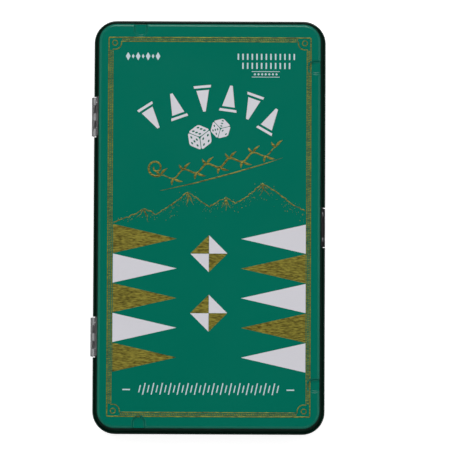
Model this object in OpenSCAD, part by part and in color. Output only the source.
// Travel backgammon set in a hinged metal tin, shown closed and lying flat.
// The origin is the centre of the underside. +X points from the hinges to the catch,
// +Y along the long side and +Z up through the lid.

/* [Tin] */
// Width over the rolled rims, from the hinge side to the catch side
tin_w = 109.6; // [109.4:0.2:112.4]
// Length over the rolled rims
tin_l = 196; // [195:0.5:200]
// Height of the closed tin, half for the base and half for the lid
tin_h = 21; // [21:0.5:24]
// Thickness of the tinplate
sheet = 0.3; // [0.25:0.05:0.35]
// Radius of the flat panel's corners
corner_r = 6.8; // [6:0.2:9]
// Radius of the rounded shoulder between panel and wall
shoulder_r = 1.6; // [1.4:0.1:1.8]
// Lean of the side walls, in degrees
draft = 8; // [8:0.1:8.3]
// Radius of the rolled bead round each rim
bead_r = 0.7; // [0.6:0.05:0.75]
// Radius of the pressed dimples that hold each board off its panel
dimple_r = 3.3; // [2.5:0.1:4]

/* [Hinges and catch] */
// Distance of each hinge's middle from the tin's middle
hinge_y = 52.2; // [40:0.5:60]
// Width of a hinge
hinge_w = 18.2; // [16:0.2:22]
// Radius of the hinge pin
pin_r = 0.5; // [0.45:0.05:0.5]
// Width of the catch
catch_w = 18; // [12:1:24]

/* [Pieces] */
// Radius of a checker
checker_r = 7.4; // [6.5:0.1:7.4]
// Thickness of a checker
checker_h = 4; // [3.6:0.1:4.2]
// Radius of the magnet let into a checker
magnet_r = 3.5; // [2.5:0.1:4]
// Edge of a die
die_w = 8.5; // [7:0.5:9]
// Edge of the doubling cube
doubling_w = 9.5; // [8:0.5:10]

/* [Hidden] */
$fn = 48;
arc_steps = 8;

// The bead stands out past the wall, and the bead's edge is the widest part of the tin.
rim_out = 3.85;
// Half sizes of the rectangle on which the rounded shoulder starts
half_w = tin_w / 2 - rim_out;
half_l = tin_l / 2 - rim_out;
parting = tin_h / 2;
// The two beads meet with this gap between them.
bead_gap = 0.1;
bead_u = rim_out - bead_r;
bead_z = parting + bead_gap / 2 + bead_r;
// The base's neck stands up inside the lid.
neck_out = 2.1;
neck_in = 1.8;
neck_rise = 1.8;

// A board is a thin plate on the dimples, with a hidden flange down to the panel.
dimple_depth = 1.2;
dimple_inset = 1.2;
dimple_x = -32.7;
dimple_y = 75.2;
board_low = dimple_depth + sheet;
board_top = board_low + sheet;
board_margin = 1.1;

// Hinge: five knuckles on a pin that lies just outside the beads.
axis_u = rim_out + 0.15;
knuckle_r = 0.95;
knuckle_gap = 0.12;
knuckles = 5;
knuckle_w = (hinge_w - (knuckles - 1) * knuckle_gap) / knuckles;
bore_r = pin_r + 0.05;
plate_t = 0.4;
leaf_low = parting + 0.8;
leaf_high = parting + 8.5;
bridge_low = parting + 0.25;
notch_margin = 0.6;

// Rivets hold the leaves and catch plates to the walls.
rivet_r = 0.6;
rivet_hole_r = 0.62;
rivet_head_r = 1.2;
rivet_head_t = 0.4;
rivet_tail_r = 1;
rivet_tail_t = 0.3;
rivet_z = parting + 5;
hinge_rivet_y = 6;
catch_rivet_y = 6;

// Catch: the lid's plate laps over the base's strike plate.
catch_high = parting + 7.5;
lap_u = 3.3;
lap_low = parting - 2.6;
strike_top = parting - 0.2;

// Points and stacks on the boards
column_pitch = 16.4;
stack_first = 84.5;
stack_pitch = 15.1;
seat_gap = 0.02;
magnet_h = 1.5;
magnet_gap = 0.05;
checker_chamfer = 0.5;

green = [0.0, 0.4, 0.33];
black = [0.04, 0.05, 0.05];
steel = [0.55, 0.55, 0.56];
cream = [0.93, 0.91, 0.86];
charcoal = [0.1, 0.1, 0.11];

// Opening stacks, each [on the lid, column, end, count]: column -2.5 is next to the hinges
light_stacks = [[false, 2.5, 1, 2], [false, -2.5, -1, 5], [true, 2.5, 1, 5], [true, -1.5, -1, 3]];
dark_stacks = [[false, -2.5, 1, 5], [false, 2.5, -1, 2], [true, -1.5, 1, 3], [true, 2.5, -1, 5]];
light_places = places(light_stacks);
dark_places = places(dark_stacks);
checkers = 15;

function numbered(name, i) = str(name, i < 10 ? "0" : "", i);

function places(stacks) = [
    for (s = stacks)
        for (i = [0:s[3] - 1])
            [s[0], s[1] * column_pitch, s[2] * (stack_first - i * stack_pitch)]
];

function arc(cu, cz, r, from, to, steps = arc_steps) = [
    for (i = [0:steps])
        let (a = from + (to - from) * i / steps)
            [cu + r * cos(a), cz + r * sin(a)]
];

// Sections are drawn as [u, z], with u measured outwards from the rectangle of half_w and half_l.
// Distance outwards of the lid wall's outer face at a height above the parting plane
function wall_u(z) =
    shoulder_r * cos(draft) + (tin_h - shoulder_r * (1 - sin(draft)) - z) * tan(draft);

function wall_in(z) = wall_u(z) - sheet / cos(draft);

// The lid's outer face from the panel to the wall, and the inner face back again
function shoulder_out() = arc(0, tin_h - shoulder_r, shoulder_r, 90, draft);
function shoulder_in() = arc(0, tin_h - shoulder_r, shoulder_r - sheet, draft, 90);
function bead_arc() = arc(bead_u, bead_z, bead_r, 132, -135, 2 * arc_steps);

function lid_section() = concat(
    [[-1, tin_h]],
    shoulder_out(),
    bead_arc(),
    [[wall_in(bead_z - 0.25), bead_z - 0.25]],
    shoulder_in(),
    [[-1, tin_h - sheet]]
);

// The base's section upside down: the lid's, with a neck that reaches past the parting plane
function base_section() = concat(
    [[-1, tin_h]],
    shoulder_out(),
    bead_arc(),
    [[neck_out, parting + 0.25]],
    [[neck_out, parting - neck_rise + 0.2]],
    [[neck_out - 0.08, parting - neck_rise]],
    [[neck_in, parting - neck_rise]],
    [[neck_in, parting + 1.6]],
    [[wall_in(parting + 2.3), parting + 2.3]],
    shoulder_in(),
    [[-1, tin_h - sheet]]
);

// Places what is drawn as [u, z] on the catch side, centred on y, or mirrored to the hinge side.
module on_side(y, w) {
    translate([half_w, y, 0]) rotate([90, 0, 0]) linear_extrude(w, center = true) children();
}

module on_hinge_side(y, w) {
    mirror([1, 0, 0]) on_side(y, w) children();
}

module upside_down() {
    translate([0, 0, tin_h]) mirror([0, 0, 1]) children();
}

// Carries a section round the tin: four straight sides and four turned corners.
module round_tin(section) {
    for (side = [0, 1])
        mirror([side, 0, 0])
            translate([half_w, 0, 0])
                rotate([90, 0, 0])
                    linear_extrude(2 * (half_l - corner_r), center = true)
                        polygon(section);
    for (end = [0, 1])
        mirror([0, end, 0])
            translate([0, half_l, 0])
                rotate([90, 0, 90])
                    linear_extrude(2 * (half_w - corner_r), center = true)
                        polygon(section);
    for (side = [0, 1])
        for (end = [0, 1])
            mirror([side, 0, 0])
                mirror([0, end, 0])
                    translate([half_w - corner_r, half_l - corner_r, 0])
                        rotate_extrude(angle = 90)
                            translate([corner_r, 0])
                                polygon(section);
}

// A flat plate whose edge is grown or shrunk from the shoulder's rectangle
module plate(grow, low, high) {
    r = corner_r + grow;
    x = half_w - corner_r;
    y = half_l - corner_r;
    translate([-x - r, -y, low]) cube([2 * (x + r), 2 * y, high - low]);
    translate([-x, -y - r, low]) cube([2 * x, 2 * (y + r), high - low]);
    for (i = [-1, 1])
        for (j = [-1, 1])
            translate([i * x, j * y, low]) cylinder(r = r, h = high - low);
}

// Each dimple's place: half_w or half_l away from the middle, facing outwards along +X
module at_dimples() {
    for (j = [-1, 1])
        translate([half_w, j * dimple_y, 0]) children();
    for (j = [-1, 1])
        translate([dimple_x, j * half_l, 0]) rotate([0, 0, j * 90]) children();
}

module half_disc(r, low, h) {
    translate([-dimple_inset, 0, low]) rotate([0, 0, 90]) rotate_extrude(angle = 180) square([r, h]);
}

module dimple_block(r, low) {
    half_disc(r, low, tin_h);
    translate([-dimple_inset, -r, low]) cube([dimple_inset + rim_out, 2 * r, tin_h]);
}

// The metal under a dimple, which follows the rounded shoulder on its outer side
module dimple_pad() {
    low = tin_h - board_low;
    r = dimple_r + sheet;
    half_disc(r, low, board_low - sheet / 2);
    rotate([90, 0, 0])
        linear_extrude(2 * r, center = true)
            polygon(concat(
                [[-dimple_inset, low], [-dimple_inset, tin_h - sheet / 2]],
                [for (p = shoulder_out()) if (p[1] > low && p[1] < tin_h - sheet / 2) p],
                [[shoulder_r * cos(draft) - 0.01, low]]
            ));
}

// One half of the tin, drawn as the lid: its panel, shoulder, wall, bead and dimples
module pressed_shell(section) {
    difference() {
        union() {
            round_tin(section);
            plate(-0.5, tin_h - sheet, tin_h);
            at_dimples() dimple_pad();
        }
        at_dimples() dimple_block(dimple_r, tin_h - dimple_depth);
    }
}

// Clears the beads down to the wall's own face where the hinges and the catch sit.
module bead_notches() {
    high = parting + 2 * bead_r + 0.6;
    low = parting - 0.2;
    section = [[wall_u(high), high], [rim_out + 1, high], [rim_out + 1, low], [wall_u(low), low]];
    for (j = [-1, 1])
        on_hinge_side(j * hinge_y, hinge_w + 2 * notch_margin) polygon(section);
    on_side(0, catch_w + 2 * notch_margin) polygon(section);
}

// Puts a rivet's axis on the lid wall's outer face, square to it, pointing outwards.
module on_wall(y, z) {
    translate([half_w + wall_u(z), y, z]) rotate([0, 90 - draft, 0]) children();
}

module at_rivets() {
    for (j = [-1, 1])
        on_wall(j * catch_rivet_y, rivet_z) children();
    mirror([1, 0, 0])
        for (h = [-1, 1])
            for (j = [-1, 1])
                on_wall(h * hinge_y + j * hinge_rivet_y, rivet_z) children();
}

module rivet_holes() {
    at_rivets() cylinder(r = rivet_hole_r, h = 4, center = true);
}

module rivets() {
    under = -sheet - rivet_tail_t;
    at_rivets() {
        translate([0, 0, under]) cylinder(r = rivet_r, h = plate_t + rivet_head_t - under - 0.1);
        translate([0, 0, plate_t]) cylinder(r = rivet_head_r, h = rivet_head_t);
        translate([0, 0, under]) cylinder(r = rivet_tail_r, h = rivet_tail_t);
    }
}

module half_tin(section) {
    difference() {
        pressed_shell(section);
        bead_notches();
        rivet_holes();
    }
}

module lid_tin() {
    color(green) half_tin(lid_section());
}

module base_tin() {
    color(black) upside_down() half_tin(base_section());
}

// A printed board, drawn as the lid's: a plate, and a flange that stops short of each dimple
module board() {
    high = tin_h - board_low;
    clear = dimple_r + sheet + 0.4;
    plate(board_margin, high - sheet, high);
    difference() {
        plate(-0.2, high - 0.1, tin_h - sheet);
        plate(-0.5, high - 0.2, tin_h);
        at_dimples() dimple_block(clear, high);
    }
}

module lid_board() {
    color(green) board();
}

module base_board() {
    color(green) upside_down() board();
}

function knuckle_y(i) = (i - (knuckles - 1) / 2) * (knuckle_w + knuckle_gap);

// A hinge leaf, drawn as the lid's: a plate on the wall that ends in its own knuckles
module leaf(y, own) {
    difference() {
        union() {
            on_hinge_side(y, hinge_w)
                polygon([
                    [wall_u(leaf_high), leaf_high],
                    [wall_u(leaf_high) + plate_t, leaf_high],
                    [wall_u(leaf_low) + plate_t, leaf_low],
                    [wall_u(leaf_low), leaf_low]
                ]);
            for (i = own) {
                on_hinge_side(y + knuckle_y(i), knuckle_w)
                    polygon([
                        [wall_u(leaf_low), leaf_low + 0.4],
                        [wall_u(leaf_low) + plate_t, leaf_low + 0.6],
                        [axis_u, parting + knuckle_r],
                        [axis_u, bridge_low],
                        [wall_u(leaf_low) + 0.1, bridge_low]
                    ]);
                on_hinge_side(y + knuckle_y(i), knuckle_w)
                    translate([axis_u, parting]) circle(r = knuckle_r);
            }
        }
        on_hinge_side(y, hinge_w + 1) translate([axis_u, parting]) circle(r = bore_r);
        rivet_holes();
    }
}

module lid_leaf(y) {
    color(steel) leaf(y, [0, 2, 4]);
}

module base_leaf(y) {
    color(steel) upside_down() leaf(y, [1, 3]);
}

module hinge_pin(y) {
    color(steel)
        on_hinge_side(y, hinge_w + 0.4)
            translate([axis_u, parting]) circle(r = pin_r);
}

module lid_rivets() {
    color(steel) rivets();
}

module base_rivets() {
    color(steel) upside_down() rivets();
}

// The lid's catch plate: it steps out over the strike plate and ends in a thumb lip.
module lid_catch_plate() {
    color(steel)
        difference() {
            on_side(0, catch_w)
                polygon([
                    [wall_u(catch_high), catch_high],
                    [wall_u(catch_high) + plate_t, catch_high],
                    [wall_u(parting + 1.4) + plate_t, parting + 1.4],
                    [lap_u + plate_t, parting + 0.7],
                    [lap_u + plate_t, lap_low + 0.9],
                    [rim_out, lap_low + 0.3],
                    [rim_out, lap_low],
                    [lap_u + 0.1, lap_low],
                    [lap_u - 0.05, lap_low + 0.4],
                    [lap_u, lap_low + 0.9],
                    [lap_u, parting + 0.3],
                    [wall_u(parting + 0.8), parting + 0.8]
                ]);
            rivet_holes();
        }
}

// The base's strike plate, drawn as the lid's
module base_catch_plate() {
    low = tin_h - strike_top;
    color(steel)
        upside_down()
            difference() {
                on_side(0, catch_w)
                    polygon([
                        [wall_u(catch_high), catch_high],
                        [wall_u(catch_high) + plate_t, catch_high],
                        [wall_u(low) + plate_t, low],
                        [wall_u(low), low]
                    ]);
                rivet_holes();
            }
}

// A checker lying on z = 0: a dished disc with a magnet let into its underside
module checker() {
    pocket_r = magnet_r + magnet_gap;
    rotate_extrude()
        polygon([
            [pocket_r, 0],
            [checker_r - checker_chamfer, 0],
            [checker_r, checker_chamfer],
            [checker_r, checker_h - checker_chamfer],
            [checker_r - checker_chamfer, checker_h],
            [checker_r - 1.4, checker_h],
            [checker_r - 1.8, checker_h - 0.5],
            [checker_r - 3.4, checker_h - 0.5],
            [checker_r - 3.7, checker_h - 0.2],
            [checker_r - 4.3, checker_h - 0.2],
            [checker_r - 4.6, checker_h - 0.6],
            [0, checker_h - 0.8],
            [0, magnet_h + magnet_gap],
            [pocket_r, magnet_h + magnet_gap]
        ]);
    cylinder(r = magnet_r, h = magnet_h);
}

// A checker on its board: upright on the base, or hanging by its magnet from the lid
module placed(place) {
    if (place[0])
        translate([place[1], place[2], 0])
            upside_down() translate([0, 0, board_top + seat_gap]) checker();
    else
        translate([place[1], place[2], board_top + seat_gap]) checker();
}

module light_checker(i) {
    color(cream) placed(light_places[i - 1]);
}

module dark_checker(i) {
    color(charcoal) placed(dark_places[i - 1]);
}

// Pips of one face of a die, drawn on its top face
module pips(count) {
    q = die_w * 0.26;
    spots = [[0, 0], [-q, -q], [q, q], [-q, q], [q, -q], [0, -q], [0, q]];
    chosen = [[0], [1, 2], [0, 1, 2], [1, 2, 3, 4], [0, 1, 2, 3, 4], [1, 2, 3, 4, 5, 6]];
    for (s = chosen[count - 1])
        translate([spots[s][0], spots[s][1], die_w / 2 + 0.45]) sphere(r = 0.85, $fn = 24);
}

module die() {
    turns = [[0, 0], [90, 0], [0, 90], [0, -90], [-90, 0], [180, 0]];
    difference() {
        intersection() {
            cube(die_w, center = true);
            sphere(r = die_w * 0.72, $fn = 64);
        }
        for (face = [0:5])
            rotate([turns[face][0], turns[face][1], 0]) pips(face + 1);
    }
}

module on_base_board(x, y, w, turn) {
    translate([x, y, board_top + seat_gap + w / 2]) rotate([0, 0, turn]) children();
}

module first_die() {
    color("white") on_base_board(-14, 3, die_w, 18) die();
}

module second_die() {
    color("white") on_base_board(0, -4, die_w, -27) rotate([90, 0, 0]) die();
}

module doubling_cube() {
    color(cream)
        on_base_board(24, 0, doubling_w, 8)
            intersection() {
                cube(doubling_w, center = true);
                sphere(r = doubling_w * 0.74, $fn = 64);
            }
}

base_tin();
base_board();
base_leaf(hinge_y);  // upper_hinge_base_leaf
base_leaf(-hinge_y);  // lower_hinge_base_leaf
hinge_pin(hinge_y);  // upper_hinge_pin
hinge_pin(-hinge_y);  // lower_hinge_pin
base_rivets();
base_catch_plate();
lid_tin();
lid_board();
lid_leaf(hinge_y);  // upper_hinge_lid_leaf
lid_leaf(-hinge_y);  // lower_hinge_lid_leaf
lid_rivets();
lid_catch_plate();
first_die();
second_die();
doubling_cube();
for (i = [1:checkers]) {
    light_checker(i);
    dark_checker(i);
}
